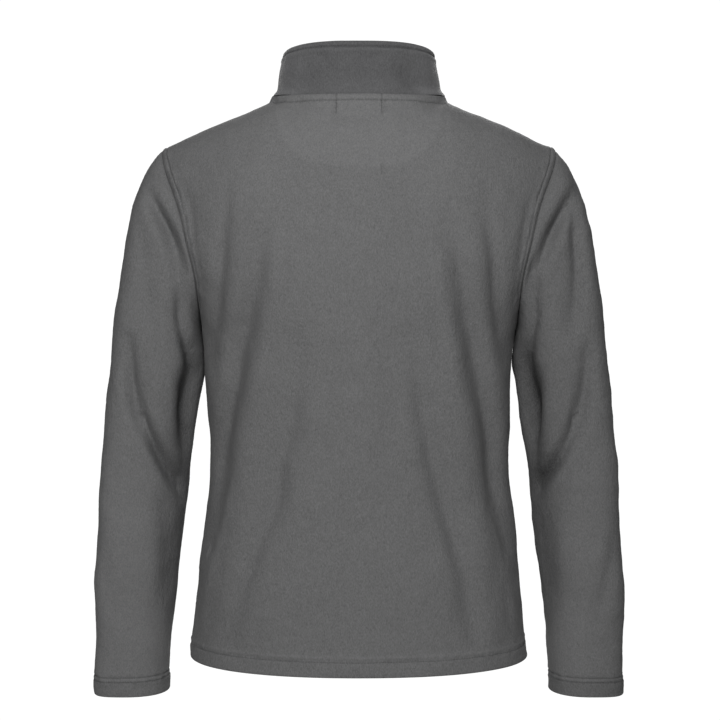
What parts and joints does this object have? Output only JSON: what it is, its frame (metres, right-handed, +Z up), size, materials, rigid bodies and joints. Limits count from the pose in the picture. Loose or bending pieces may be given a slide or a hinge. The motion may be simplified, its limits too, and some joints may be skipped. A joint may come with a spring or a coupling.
{
  "type": "fleece zip jacket",
  "caption": "Men's plain fleece jacket with a stand-up collar, long set-in sleeves and a closed front zip, hollow in its worn form.",
  "frame": {"origin": "middle of the neck opening, level with the neck ends of the shoulders, where the wearer's neck holds the jacket up", "axes": "+Z up, -Y towards the front with the zip, +X towards the wearer's left"},
  "size_m": [0.6656, 0.2777, 0.7987],
  "materials": {
    "body_fleece": "short brushed nap, matt, mid grey",
    "sleeve_fleece": "short brushed nap, matt, mid grey",
    "collar_fleece": "short brushed nap, matt, mid grey",
    "zip_tape": "woven tape, matt",
    "zip_teeth": "moulded coil, semi-gloss",
    "zip_metal": "dark satin enamel"
  },
  "bodies": {
    "jacket": {"back": "body_fleece", "front_left": "body_fleece", "front_right": "body_fleece", "sleeve_left": "sleeve_fleece", "sleeve_right": "sleeve_fleece", "collar": "collar_fleece", "zip_tape_left": "zip_tape", "zip_tape_right": "zip_tape", "zip_teeth_left": "zip_teeth", "zip_teeth_right": "zip_teeth", "zip_box": "zip_metal", "zip_stop_left": "zip_metal", "zip_stop_right": "zip_metal", "zip_slider": "zip_metal"},
    "zip_pull": {"zip_pull": "zip_metal"}
  },
  "joints": [
    {"name": "pull_swing", "type": "hinge", "parent": "jacket", "child": "zip_pull", "pos_m": [0, -0.09323, 0.00855], "axis": [-1, 0, 0], "range_deg": [0, 150]}
  ]
}
